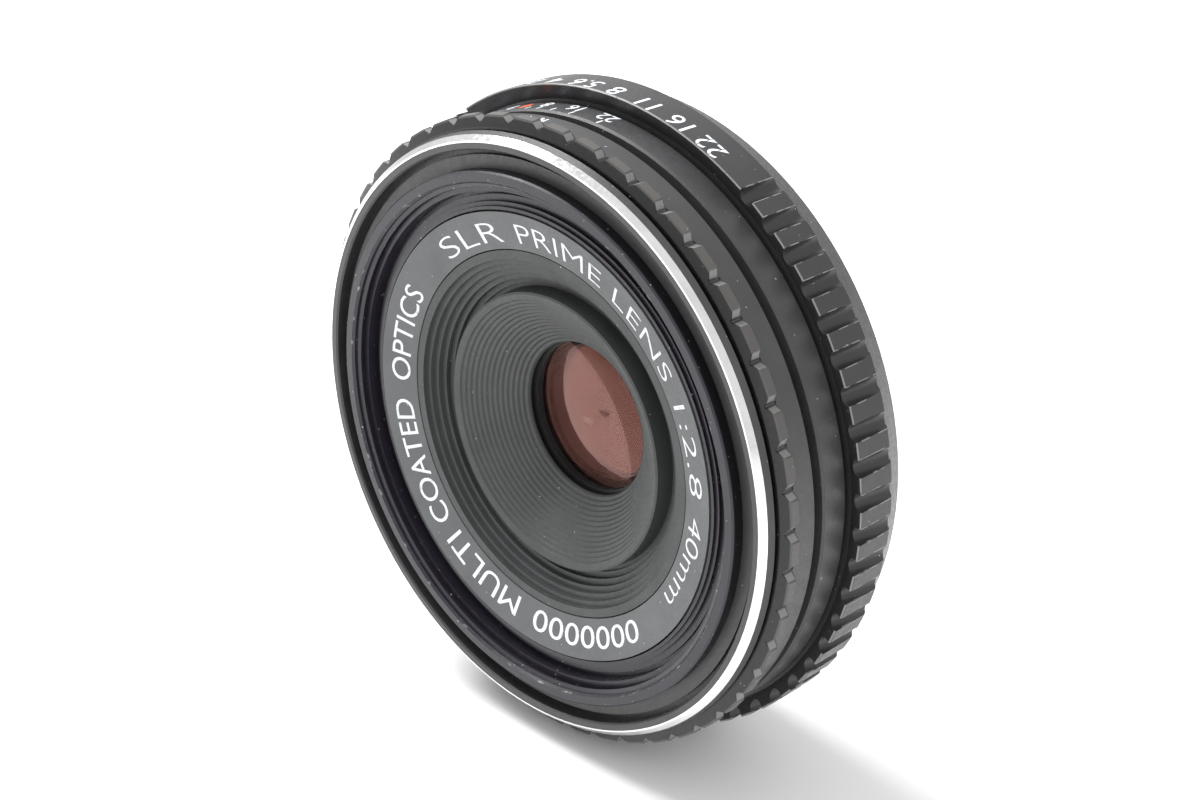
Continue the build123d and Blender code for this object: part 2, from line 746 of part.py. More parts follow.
E4_R, E4_FRONT_CURVE, E4_TOP, JOIN_CURVE, JOIN_TOP = 6.32, 22.0, -0.2, 12.0, -0.9
E5_BACK, E5_BACK_CURVE = -4.2, 22.0
with BuildPart() as fourth_element:
    with BuildSketch(PROFILE):
        with BuildLine():
            ThreePointArc(
                (0, E4_TOP),
                (E4_R / 2, E4_TOP + sag(E4_FRONT_CURVE, E4_R / 2)),
                (E4_R, E4_TOP + sag(E4_FRONT_CURVE, E4_R)),
            )
            Line((E4_R, E4_TOP + sag(E4_FRONT_CURVE, E4_R)), (E4_R, JOIN_TOP - sag(JOIN_CURVE, E4_R)))
            ThreePointArc(
                (E4_R, JOIN_TOP - sag(JOIN_CURVE, E4_R)),
                (E4_R / 2, JOIN_TOP - sag(JOIN_CURVE, E4_R / 2)),
                (0, JOIN_TOP),
            )
            Line((0, JOIN_TOP), (0, E4_TOP))
        make_face()
    revolve(axis=Axis.Y)
fourth_element.part.label = "fourth_element"
export_step(fourth_element.part, "parts/fourth_element.step")

with BuildPart() as fifth_element:
    with BuildSketch(PROFILE):
        with BuildLine():
            ThreePointArc(
                (0, JOIN_TOP),
                (E4_R / 2, JOIN_TOP - sag(JOIN_CURVE, E4_R / 2)),
                (E4_R, JOIN_TOP - sag(JOIN_CURVE, E4_R)),
            )
            Line((E4_R, JOIN_TOP - sag(JOIN_CURVE, E4_R)), (E4_R, E5_BACK + sag(E5_BACK_CURVE, E4_R)))
            ThreePointArc(
                (E4_R, E5_BACK + sag(E5_BACK_CURVE, E4_R)),
                (E4_R / 2, E5_BACK + sag(E5_BACK_CURVE, E4_R / 2)),
                (0, E5_BACK),
            )
            Line((0, E5_BACK), (0, JOIN_TOP))
        make_face()
    revolve(axis=Axis.Y)
fifth_element.part.label = "fifth_element"
export_step(fifth_element.part, "parts/fifth_element.step")

with BuildPart() as rear_retaining_ring:
    with BuildSketch(PROFILE):
        with BuildLine():
            Polyline((5.86, -3.92), (6.34, -3.92), (6.34, -3.46), (5.86, -3.46), close=True)
        make_face()
    revolve(axis=Axis.Y)
rear_retaining_ring.part.label = "rear_retaining_ring"
export_step(rear_retaining_ring.part, "parts/rear_retaining_ring.step")

with BuildPart() as rear_cover:
    with BuildSketch(PROFILE):
        with BuildLine():
            Polyline((8.9, -1.9), (10.0, -1.5), (17.8, -1.5), (17.8, -0.94), (8.9, -0.94), close=True)
        make_face()
    revolve(axis=Axis.Y)
    with Locations(across(-1.2)):
        with PolarLocations(16.3, 3, start_angle=60):
            Cylinder(0.6, 2.0, mode=Mode.SUBTRACT)
rear_cover.part.label = "rear_cover"
export_step(rear_cover.part, "parts/rear_cover.step")

# ---------------------------------------------------------------- focus ring
with BuildPart() as focus_ring:
    with BuildSketch(PROFILE):
        with BuildLine():
            Polyline(
                (SLEEVE_R + RUN, 11.95),
                (FOCUS_R - 0.25, 11.95),
                (FOCUS_R - 0.05, 12.15),
                (FOCUS_R, 14.78),
                (GRIP_R - 0.04, 14.92),
                (GRIP_R, 14.98),
                (GRIP_R - 0.06, 15.82),
                (29.2, 16.2),
                (28.65, 16.25),
                (28.65, 16.5),
                (29.0, 16.56),
                (TRIM_R, 17.2),
                (28.12, 17.2),
                (28.12, 17.68),
                (27.6, 17.68),
                (27.45, 17.5),
                (27.45, 16.4),
                (25.9 + RUN, 16.4),
                (25.9 + RUN, 15.95),
                (SLEEVE_R + RUN, 15.95),
                close=True,
            )
        make_face()
    revolve(axis=Axis.Y)
    with BuildSketch(across(14.7)):
        for i in range(GRIP_COUNT):
            cut = 3.0 + 7.2 * i
            with BuildLine(Location((0, 0, 0), (0, 0, cut))):
                Polyline((29.5, 0.06), (30.9, 1.5), (30.9, -1.5), (29.5, -0.06), close=True)
            make_face()
    extrude(amount=1.7, mode=Mode.SUBTRACT)
focus_ring.part.label = "focus_ring"
export_step(focus_ring.part, "parts/focus_ring.step")

with BuildPart() as trim_ring:
    with BuildSketch(PROFILE):
        with BuildLine():
            Polyline((28.14, 17.22), (TRIM_R - 0.01, 17.22), (28.3, 17.7), (28.14, 17.7), close=True)
        make_face()
    revolve(axis=Axis.Y)
trim_ring.part.label = "trim_ring"
export_step(trim_ring.part, "parts/trim_ring.step")
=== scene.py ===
import math

import bmesh
import bpy
from mathutils import Matrix, Vector


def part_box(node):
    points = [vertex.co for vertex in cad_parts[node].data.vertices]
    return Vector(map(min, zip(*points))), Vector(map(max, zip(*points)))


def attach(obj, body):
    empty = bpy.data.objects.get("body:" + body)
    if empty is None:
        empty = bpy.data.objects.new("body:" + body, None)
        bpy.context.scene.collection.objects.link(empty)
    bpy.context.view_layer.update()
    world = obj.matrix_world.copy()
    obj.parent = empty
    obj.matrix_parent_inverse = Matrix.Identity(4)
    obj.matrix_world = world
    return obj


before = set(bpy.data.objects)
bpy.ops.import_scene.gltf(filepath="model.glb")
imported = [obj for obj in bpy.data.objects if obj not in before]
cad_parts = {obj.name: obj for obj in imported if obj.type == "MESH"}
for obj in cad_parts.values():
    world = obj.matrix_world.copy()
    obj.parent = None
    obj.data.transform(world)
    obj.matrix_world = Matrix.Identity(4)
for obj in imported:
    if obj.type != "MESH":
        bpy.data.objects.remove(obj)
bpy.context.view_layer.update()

# Millimetres in the row frame: the optical axis is Y and the front faces -Y. A point is given by its
# radius, its distance in front of the flange, and its angle counter-clockwise from +X seen from the front.
MM = 0.001
LETTER_LIFT = 0.008
LETTER_DEPTH = 0.05
MOST_CUTS = 5


def front_of(node):
    return -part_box(node)[0].y / MM


def radius_of(node):
    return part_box(node)[1].x / MM


def point(radius, front, angle):
    return Vector((radius * math.cos(angle), -front, radius * math.sin(angle))) * MM


# ---------------------------------------------------------------- materials

# Degrees: the bright stripes on the sides of the lands, part rubbed paint and part painted highlight, and
# the smooth stretch of the ring that has the stop numbers, counted from the first scallop.
SIDE_HALF_WIDTH = 0.07
SIDE_SOFT = 0.04
SMOOTH_FROM = 3.0
SMOOTH_TO = 66.0

DUST = (0.5, 0.5, 0.48)
GLASS_IOR = 1.62


class Shader:
    """Builds one procedural material around a Principled shader."""

    def __init__(self, name):
        self.material = bpy.data.materials.new(name)
        self.material.use_nodes = True
        self.tree = self.material.node_tree
        self.surface = self.tree.nodes["Principled BSDF"]
        self.place = self.node("ShaderNodeTexCoord").outputs["Object"]
        split = self.node("ShaderNodeSeparateXYZ")
        self.join(self.place, split.inputs[0])
        x, y, z = split.outputs
        self.front = self.math("MULTIPLY", y, -1 / MM)
        squares = self.math("ADD", self.math("MULTIPLY", x, x), self.math("MULTIPLY", z, z))
        self.radius = self.math("MULTIPLY", self.math("SQRT", squares), 1 / MM)
        self.angle = self.math("ARCTAN2", z, x)

    def node(self, kind, **settings):
        made = self.tree.nodes.new(kind)
        for key, value in settings.items():
            setattr(made, key, value)
        return made

    def join(self, source, socket):
        if isinstance(source, bpy.types.NodeSocket):
            self.tree.links.new(source, socket)
        else:
            socket.default_value = source

    def math(self, operation, *values):
        made = self.node("ShaderNodeMath", operation=operation)
        for socket, value in zip(made.inputs, values):
            self.join(value, socket)
        return made.outputs[0]

    def noise(self, scale, detail=4.0, where=None):
        made = self.node("ShaderNodeTexNoise")
        self.join(where or self.place, made.inputs["Vector"])
        made.inputs["Scale"].default_value = scale
        made.inputs["Detail"].default_value = detail
        return made.outputs["Fac"]

    def remap(self, value, low, high, to_low=0.0, to_high=1.0):
        made = self.node("ShaderNodeMapRange", interpolation_type="SMOOTHSTEP")
        for socket, given in zip(made.inputs, (value, low, high, to_low, to_high)):
            self.join(given, socket)
        return made.outputs[0]

    def mix(self, amount, first, second):
        made = self.node("ShaderNodeMix", data_type="RGBA")
        self.join(amount, made.inputs["Factor"])
        for socket, colour in ((made.inputs[6], first), (made.inputs[7], second)):
            self.join((*colour, 1.0) if isinstance(colour, tuple) else colour, socket)
        return made.outputs[2]

    def band(self, value, low, high, soft=0.05):
        rise = self.remap(value, low - soft, low + soft)
        fall = self.remap(value, high - soft, high + soft)
        return self.math("SUBTRACT", rise, fall)

    def region(self, low_radius, high_radius, low_front, high_front):
        """One inside a ring-shaped region round the axis, and zero outside it."""
        across = self.band(self.radius, low_radius, high_radius)
        along = self.band(self.front, low_front, high_front)
        return self.math("MULTIPLY", across, along)

    def land_sides(self, land_radius, first, pitch, half_width):
        """One in thin stripes down the sides of evenly spaced lands, zero elsewhere: bright edges, part
        rubbed paint and part painted highlight. Angles in degrees.
        """
        from_first = self.math("SUBTRACT", self.angle, math.radians(first))
        turns = self.math("MULTIPLY", from_first, 180 / math.pi / pitch)
        nearest = self.math("SUBTRACT", turns, self.math("ROUND", turns))
        apart = self.math("MULTIPLY", self.math("ABSOLUTE", nearest), pitch)
        side = self.band(apart, half_width - SIDE_HALF_WIDTH, half_width + SIDE_HALF_WIDTH, SIDE_SOFT)
        on_land = self.math("GREATER_THAN", self.radius, land_radius)
        patchy_stripes = self.remap(self.noise(700.0, 6.0), 0.46, 0.56)
        mask = self.math("MULTIPLY", self.math("MULTIPLY", side, on_land), patchy_stripes)
        smooth_from = self.math("GREATER_THAN", self.angle, math.radians(first + SMOOTH_FROM))
        smooth_to = self.math("LESS_THAN", self.angle, math.radians(first + SMOOTH_TO))
        smooth = self.math("MULTIPLY", smooth_from, smooth_to)
        return self.math("MULTIPLY", mask, self.math("SUBTRACT", 1.0, smooth))

    def turned(self, rings_per_mm=9.0):
        """Noise stretched round the axis, as a lathe leaves it."""
        where = self.node("ShaderNodeCombineXYZ")
        self.join(self.math("MULTIPLY", self.radius, rings_per_mm), where.inputs[0])
        self.join(self.math("MULTIPLY", self.front, rings_per_mm), where.inputs[1])
        self.join(self.math("MULTIPLY", self.angle, 0.6), where.inputs[2])
        return self.noise(1.0, 2.0, where.outputs[0])

    def bump(self, height, distance_mm, strength=0.4):
        made = self.node("ShaderNodeBump")
        made.inputs["Strength"].default_value = strength
        made.inputs["Distance"].default_value = distance_mm * MM
        self.join(height, made.inputs["Height"])
        self.join(made.outputs[0], self.surface.inputs["Normal"])


def turned_metal(
    name,
    colour,
    roughness,
    metallic=0.0,
    wear_and_highlights=(),
    painted_shade=(),
    lands=None,
    dust=0.5,
    rings=9.0,
    depth=0.004,
):
    """Lathe-turned metal. Each lighter patch is (region, colour, cover); on the grip blocks and the land
    edges these are painted highlights. Each shaded region is painted near-black as shade in a recess or
    groove. A region is (low radius, high radius, low front, high front). Lands are the arguments of
    Shader.land_sides, for a ring whose lands have bright sides, part rubbed paint and
    part painted highlight."""
    shader = Shader(name)
    patches = shader.noise(260.0)
    fine = shader.noise(2600.0)
    darker = tuple(0.72 * c for c in colour)
    paint = shader.mix(patches, darker, tuple(min(1.0, 1.28 * c) for c in colour))
    # Painted shade: each region is painted near-black where a recess or groove lies in shadow.
    for region in painted_shade:
        paint = shader.mix(shader.region(*region), paint, RECESS_SHADE)
    # Lighter patches: on the grip blocks and the land edges these are painted highlights.
    for region, patch_colour, cover in wear_and_highlights:
        patchy = shader.remap(shader.noise(900.0, 6.0), 0.62 - 0.3 * cover, 0.72 - 0.3 * cover)
        mask = shader.math("MULTIPLY", shader.region(*region), patchy)
        paint = shader.mix(mask, paint, patch_colour)
    if lands:
        paint = shader.mix(shader.land_sides(*lands), paint, EDGE_WEAR_AND_HIGHLIGHT)
    if dust:
        specks = shader.remap(shader.noise(3400.0, 1.0), 0.80 - 0.04 * dust, 0.83 - 0.04 * dust)
        paint = shader.mix(specks, paint, DUST)
    shader.join(paint, shader.surface.inputs["Base Color"])
    rough = shader.remap(fine, 0.3, 0.7, roughness - 0.06, roughness + 0.07)
    shader.join(rough, shader.surface.inputs["Roughness"])
    shader.surface.inputs["Metallic"].default_value = metallic
    height = shader.math("ADD", shader.turned(rings), shader.math("MULTIPLY", fine, 0.5))
    shader.bump(height, depth)
    return shader.material


def coated_glass(name, reflection, body, clear):
    """Lens glass whose coating tints what it reflects, a little unevenly."""
    shader = Shader(name)
    uneven = shader.remap(shader.noise(150.0, 2.0), 0.3, 0.7)
    # The body colour is painted reflection: it stands in for the amber glow of the coatings inside the
    # lens.
    body_tint_and_glow = shader.mix(uneven, body, tuple(0.93 * c for c in body))
    tint = shader.mix(uneven, reflection, tuple(0.85 * c for c in reflection))
    shader.join(body_tint_and_glow, shader.surface.inputs["Base Color"])
    shader.join(tint, shader.surface.inputs["Specular Tint"])
    shader.surface.inputs["Transmission Weight"].default_value = clear
    shader.surface.inputs["IOR"].default_value = GLASS_IOR
    shader.surface.inputs["Specular IOR Level"].default_value = 0.6
    shader.surface.inputs["Roughness"].default_value = 0.0
    return shader.material


def paint_fill(name, colour):
    """Enamel filled into engraved marks, with rubbed, slightly dirty patches."""
    shader = Shader(name)
    dirt = shader.remap(shader.noise(1500.0, 5.0), 0.56, 0.74)
    enamel = shader.mix(dirt, colour, tuple(0.6 * c for c in colour))
    rough = shader.remap(shader.noise(3000.0), 0.3, 0.7, 0.45, 0.65)
    shader.join(enamel, shader.surface.inputs["Base Color"])
    shader.join(rough, shader.surface.inputs["Roughness"])
    shader.bump(shader.noise(5000.0), 0.004)
    return shader.material


# Painted highlights on the tops and V-cut facets of the focus ring's grip blocks, where light falls.
GRIP_TOP_HIGHLIGHT = (0.075, 0.070, 0.066)
GRIP_FLANK_HIGHLIGHT = (0.19, 0.19, 0.185)
BLACK = (0.030, 0.030, 0.032)
# Painted shade: near-black for recesses and grooves that lie in shadow.
RECESS_SHADE = (0.004, 0.004, 0.005)
# Bright edges: part rubbed paint, part painted highlight.
EDGE_WEAR_AND_HIGHLIGHT = (0.24, 0.24, 0.235)
BAND_BLACK = (0.044, 0.044, 0.046)

ring_front = front_of("aperture_ring")
scale_front = front_of("scale_ring")
filter_front = front_of("filter_ring")

GRIP_OFFSET = 3.9  # from the front of the scale ring to the rear of the focus ring's grip blocks
GRIP_LENGTH = 0.9
LAND_REAR = 4.1
grip_rear = scale_front + GRIP_OFFSET
grip_front = grip_rear + GRIP_LENGTH

# Where the painted grip highlights lie.
GRIP_TOPS = (30.18, 30.5, grip_rear, grip_front)
GRIP_FLANKS = (29.66, 30.15, grip_rear, grip_front)
# Painted shade in the focus ring's bore and in the groove at the front flank of the grip blocks.
FOCUS_RING_BORE = (0.0, 27.42, 0.0, 17.45)
TRIM_GROOVE = (28.0, 30.15, 15.88, 16.55)
# The land edges carry painted highlight as well as rubbed paint.
LAND_FRONT_EDGE = (31.3, 31.7, ring_front - 0.08, ring_front + 0.1)
LAND_REAR_EDGE = (31.2, 31.7, LAND_REAR - 0.05, LAND_REAR + 0.04)
FILTER_MOUTH = (24.4, 24.75, filter_front - 0.1, filter_front + 0.05)
# Painted shade in the deep hollow outside the filter ring.
FILTER_OUTSIDE = (25.6, 27.0, 0.0, filter_front - 0.3)

LAND_R = 31.35
SCALLOP_FIRST = 56.1
SCALLOP_PITCH = 360 / 62
SCALLOP_HALF_WIDTH = 1.52

black = turned_metal("black_anodised", BAND_BLACK, 0.42)
inner_black = turned_metal("inner_black", (0.016, 0.016, 0.017), 0.55, rings=5.0, dust=0.3)
aperture_black = turned_metal(
    "aperture_black", BLACK, 0.36,
    wear_and_highlights=[(LAND_FRONT_EDGE, EDGE_WEAR_AND_HIGHLIGHT, 1.1), (LAND_REAR_EDGE, EDGE_WEAR_AND_HIGHLIGHT, 0.5)],
    lands=(LAND_R, SCALLOP_FIRST, SCALLOP_PITCH, SCALLOP_HALF_WIDTH),
)
focus_black = turned_metal(
    "focus_black", BAND_BLACK, 0.38,
    wear_and_highlights=[(GRIP_TOPS, GRIP_TOP_HIGHLIGHT, 1.6), (GRIP_FLANKS, GRIP_FLANK_HIGHLIGHT, 1.6)],
    painted_shade=[FOCUS_RING_BORE, TRIM_GROOVE],
)
# The faint purple in this black is a painted sheen.
filter_black = turned_metal(
    "filter_black", (0.017, 0.015, 0.022), 0.34,
    wear_and_highlights=[(FILTER_MOUTH, EDGE_WEAR_AND_HIGHLIGHT, 0.15)],
    painted_shade=[FILTER_OUTSIDE],
    dust=1.1,
)
name_black = turned_metal("name_black", (0.098, 0.102, 0.104), 0.5, rings=4.0, dust=0.4)
hood_black = turned_metal("hood_black", (0.052, 0.054, 0.055), 0.55, rings=5.0, dust=0.2)
bright = turned_metal("bright_trim", (0.80, 0.80, 0.79), 0.16, metallic=1.0, dust=0.0, depth=0.002)
mount_steel = turned_metal("mount_steel", (0.62, 0.62, 0.61), 0.27, metallic=1.0, dust=0.0)
screw_steel = turned_metal("screw_steel", (0.52, 0.52, 0.53), 0.3, metallic=1.0, dust=0.0)
lever_steel = turned_metal("lever_steel", (0.40, 0.40, 0.41), 0.36, metallic=1.0, dust=0.0)
blade_steel = turned_metal("blade_steel", (0.06, 0.06, 0.065), 0.45, metallic=1.0, dust=0.0)
brass = turned_metal("brass", (0.62, 0.43, 0.17), 0.32, metallic=1.0, dust=0.0)
red_enamel = paint_fill("red_enamel", (0.55, 0.02, 0.015))
# Painted reflection and shade: the front element's pink tint and the inner elements' dark red paint the
# amber glow and the dark inside of the lens.
front_glass = coated_glass("front_glass", (0.70, 0.34, 0.29), (0.82, 0.60, 0.55), 1.0)
inner_glass = coated_glass("inner_glass", (0.80, 0.34, 0.20), (0.085, 0.030, 0.024), 0.15)

FINISHES = {
    aperture_black: ["aperture_ring"],
    focus_black: ["focus_ring"],
    filter_black: ["filter_ring", "step_ring"],
    name_black: ["name_ring"],
    hood_black: ["front_hood"],
    bright: ["trim_ring"],
    mount_steel: ["bayonet_mount"],
    red_enamel: ["alignment_dot"],
    screw_steel: ["mount_screws", "guide_key_screws", "click_spring_screw", "scale_ring_screws"],
    lever_steel: ["stop_down_ring", "aperture_link_screw", "click_plunger", "click_spring"],
    brass: ["guide_keys"],
    blade_steel: ["iris_blade_%d" % (i + 1) for i in range(5)],
    front_glass: ["front_element"],
    inner_glass: ["second_element", "third_element", "fourth_element", "fifth_element"],
    inner_black: [
        "hood_carrier", "front_cell", "front_retaining_ring", "element_spacer", "middle_retaining_ring",
        "iris_base", "iris_cover", "iris_cam_ring", "rear_cell", "rear_retaining_ring", "rear_cover",
        # Painted shade: the main barrel takes the darker inner black where it shows between the rings.
        "inner_barrel", "main_barrel",
    ],
}

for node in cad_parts.values():
    node.data.materials.clear()
    node.data.materials.append(black)
for finish_material, names in FINISHES.items():
    for name in names:
        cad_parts[name].data.materials[0] = finish_material


# ---------------------------------------------------------------- marks and lettering


def cap_height():
    text = bpy.data.curves.new("measure", "FONT")
    text.body = "H"
    holder = bpy.data.objects.new("measure", text)
    bpy.context.scene.collection.objects.link(holder)
    bpy.context.view_layer.update()
    height = holder.dimensions.y
    bpy.data.objects.remove(holder)
    return height


CAP = cap_height()


def word(body, height, width=None, weight=0.0):
    """A flat word in millimetres, its middle at x = 0 and its foot at y = 0. Width stretches it to fit."""
    text = bpy.data.curves.new("word", "FONT")
    text.body = body
    text.offset = weight
    text.extrude = LETTER_DEPTH / 2 * CAP / height
    text.resolution_u = 4
    holder = bpy.data.objects.new("word", text)
    bpy.context.scene.collection.objects.link(holder)
    bpy.context.view_layer.update()
    evaluated = holder.evaluated_get(bpy.context.evaluated_depsgraph_get())
    mesh = bpy.data.meshes.new_from_object(evaluated)
    bpy.data.objects.remove(holder)
    shape = bmesh.new()
    shape.from_mesh(mesh)
    low = min(v.co.x for v in shape.verts)
    high = max(v.co.x for v in shape.verts)
    tall = height / CAP
    wide = width / (high - low) if width else tall
    middle = (low + high) / 2
    for v in shape.verts:
        v.co = Vector(((v.co.x - middle) * wide, v.co.y * tall, v.co.z * tall))
    return shape


def slab(outline):
    """A thin flat prism over an outline in millimetres."""
    shape = bmesh.new()
    foot = [shape.verts.new((x, y, -LETTER_DEPTH / 2)) for x, y in outline]
    top = [shape.verts.new((x, y, LETTER_DEPTH / 2)) for x, y in outline]
    shape.faces.new(list(reversed(foot)))
    shape.faces.new(top)
    for i in range(len(outline)):
        j = (i + 1) % len(outline)
        shape.faces.new((foot[i], foot[j], top[j], top[i]))
    return shape


def tick(width, length):
    return slab([(-width / 2, 0), (width / 2, 0), (width / 2, length), (-width / 2, length)])


def add_mark(target, shape, place, longest=0.25):
    """Cuts a flat shape finely enough to bend, bends it with place(x, y, lift), adds it to the target."""
    bmesh.ops.remove_doubles(shape, verts=shape.verts, dist=1e-5)
    bmesh.ops.triangulate(shape, faces=shape.faces)
    for _ in range(MOST_CUTS):
        long_edges = [e for e in shape.edges if e.calc_length() > longest]
        if not long_edges:
            break
        bmesh.ops.subdivide_edges(shape, edges=long_edges, cuts=1)
        bmesh.ops.triangulate(shape, faces=shape.faces)
    for v in shape.verts:
        lift = v.co.z - LETTER_DEPTH / 2 + LETTER_LIFT
        v.co = place(v.co.x, v.co.y, lift)
    mesh = bpy.data.meshes.new("mark")
    shape.to_mesh(mesh)
    shape.free()
    target.from_mesh(mesh)
    bpy.data.meshes.remove(mesh)


def on_cylinder(radius, foot, degrees):
    """Reads from behind the lens, with the tops towards the front."""
    middle = math.radians(degrees)
    return lambda x, y, lift: point(radius + lift, foot + y, middle + x / radius)


def on_name_cone(degrees):
    """Reads clockwise round the name ring, with the tops outward."""
    middle = math.radians(degrees)
    slope = math.atan2(NAME_OUTER_S - NAME_INNER_S, NAME_OUTER_R - NAME_INNER_R)
    start = NAME_FOOT * math.hypot(NAME_OUTER_R - NAME_INNER_R, NAME_OUTER_S - NAME_INNER_S)

    def place(x, y, lift):
        along = start + y
        radius = NAME_INNER_R + along * math.cos(slope) - lift * math.sin(slope)
        depth = NAME_INNER_S + along * math.sin(slope) + lift * math.cos(slope)
        return point(radius, depth, middle - x / NAME_MIDDLE_R)

    return place


def finish_piece(name, shape, material, body):
    bmesh.ops.recalc_face_normals(shape, faces=shape.faces)
    mesh = bpy.data.meshes.new(name)
    shape.to_mesh(mesh)
    shape.free()
    mesh.materials.append(material)
    piece = bpy.data.objects.new(name, mesh)
    bpy.context.scene.collection.objects.link(piece)
    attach(piece, body)
    return piece


white = paint_fill("white_fill", (0.74, 0.78, 0.82))
orange = paint_fill("orange_fill", (0.80, 0.10, 0.02))

NAME_INNER_R, NAME_INNER_S = 17.9, 15.41
NAME_OUTER_R = radius_of("name_ring")
NAME_OUTER_S = front_of("name_ring")
NAME_MIDDLE_R = (NAME_INNER_R + NAME_OUTER_R) / 2
NAME_FOOT = 0.18  # share of the cone's width below the letters
NAME_CAPS = 2.1
FINE = -0.014  # how far a letter's outline is drawn in
BOLD = 0.0

# word, the angles where it starts and ends, and its weight
NAME_WORDS = [
    ("SLR", 130.0, 104.0, FINE),
    ("PRIME LENS", 97.6, 34.8, FINE),
    ("1:2.8", 28.0, 3.6, FINE),
    ("40mm", -2.8, -32.4, FINE),
    ("0000000", -49.2, -93.2, BOLD),
    ("MULTI", -99.6, -130.0, BOLD),
    ("COATED", -134.8, -173.0, BOLD),
    ("OPTICS", -179.0, -210.8, BOLD),
]
lettering = bmesh.new()
for body, first, last, weight in NAME_WORDS:
    arc = math.radians(first - last) * NAME_MIDDLE_R
    add_mark(lettering, word(body, NAME_CAPS, arc, weight), on_name_cone((first + last) / 2))
finish_piece("name_lettering", lettering, white, "lens_block")

# The stop ring rests half way between f/2.8 and f/4, so those two numbers stand either side of the index.
STOP_ANGLE = 7.02
INDEX_ANGLE = 105.5
APERTURE_R = radius_of("aperture_ring")
STOPS = ["2.8", "4", "5.6", "8", "11", "16", "22"]
STOP_CAPS = 2.0
STOP_FOOT = 6.15
numbers = bmesh.new()
for i, stop in enumerate(STOPS):
    degrees = INDEX_ANGLE + (0.5 - i) * STOP_ANGLE
    add_mark(numbers, word(stop, STOP_CAPS), on_cylinder(APERTURE_R - LETTER_LIFT, STOP_FOOT, degrees))
finish_piece("stop_numbers", numbers, white, "aperture_ring_body")

SCALE_R = radius_of("scale_ring")
DEPTH_TICKS = [2.3, 5.2, 8.7, 13.2, 19.9]
DEPTH_NUMBERS = [("22", 19.3), ("16", 11.6), ("8", 4.6)]
DEPTH_CAPS = 1.45
DEPTH_FOOT = 8.4
TICK_WIDTH = 0.16
TICK_LENGTH = 0.8
TICK_FOOT = scale_front - 1.05
depth_marks = bmesh.new()
for side in (-1, 1):
    for offset in DEPTH_TICKS:
        where = on_cylinder(SCALE_R, TICK_FOOT, INDEX_ANGLE + side * offset)
        add_mark(depth_marks, tick(TICK_WIDTH, TICK_LENGTH), where)
    for body, offset in DEPTH_NUMBERS:
        where = on_cylinder(SCALE_R, DEPTH_FOOT, INDEX_ANGLE + side * offset)
        add_mark(depth_marks, word(body, DEPTH_CAPS), where)
finish_piece("depth_scale", depth_marks, white, "fixed_barrel")

INDEX_HALF_WIDTH = 0.55
INDEX_LENGTH = 2.1
INDEX_FOOT = 8.5
index = bmesh.new()
diamond = slab([
    (0, 0),
    (INDEX_HALF_WIDTH, INDEX_LENGTH / 2),
    (0, INDEX_LENGTH),
    (-INDEX_HALF_WIDTH, INDEX_LENGTH / 2),
])
add_mark(index, diamond, on_cylinder(SCALE_R, INDEX_FOOT, INDEX_ANGLE))
finish_piece("index_mark", index, orange, "fixed_barrel")

FOCUS_BAND_R = 29.58
DISTANCE_NUMBERS = [
    ("5", 13.0),
    ("3", 27.0),
    ("2", 41.0),
    ("1.5", 56.0),
    ("1", 78.0),
    ("0.8", 100.0),
    ("0.6", 132.0),
]
DISTANCE_CAPS = 1.5
DISTANCE_FOOT = 12.7
DISTANCE_UNITS = [("m", 7.4), ("ft", 12.0)]
UNIT_CAPS = 1.2
UNIT_FOOT = 12.9
LOOP_R = 0.55
LOOP_HOLE_R = 0.385
LOOP_MIDDLE = 1.0
LOOP_STEPS = 20
LOOP_FOOT = 12.5


def loop_outline(radius):
    turns = [math.tau * k / LOOP_STEPS for k in range(LOOP_STEPS)]
    return [(radius * math.cos(a), LOOP_MIDDLE + radius * math.sin(a)) for a in turns]


distances = bmesh.new()
# The infinity sign is two flat loops side by side.
ring = loop_outline(LOOP_R)
hole = loop_outline(LOOP_HOLE_R)
for offset in (-LOOP_R, LOOP_R):
    centre = INDEX_ANGLE + math.degrees(offset / FOCUS_BAND_R)
    for k in range(LOOP_STEPS):
        j = (k + 1) % LOOP_STEPS
        piece = slab([ring[k], ring[j], hole[j], hole[k]])
        add_mark(distances, piece, on_cylinder(FOCUS_BAND_R, LOOP_FOOT, centre))
for body, offset in DISTANCE_UNITS:
    where = on_cylinder(FOCUS_BAND_R, UNIT_FOOT, INDEX_ANGLE - offset)
    add_mark(distances, word(body, UNIT_CAPS), where)
for body, offset in DISTANCE_NUMBERS:
    where = on_cylinder(FOCUS_BAND_R, DISTANCE_FOOT, INDEX_ANGLE + offset)
    add_mark(distances, word(body, DISTANCE_CAPS), where)
finish_piece("distance_scale", distances, white, "focus_body")


# ---------------------------------------------------------------- filter thread

THREAD_ROOT_R = 24.56
THREAD_TIP_R = 24.14
THREAD_PITCH = 0.5
THREAD_START = 16.98
THREAD_END = 17.52
THREAD_HALF_FOOT = 0.22
THREAD_HALF_TIP = 0.04
THREAD_LEAST = 0.02  # height of the ridge where it has faded out
STEPS_PER_TURN = 180
FADE_STEPS = 20


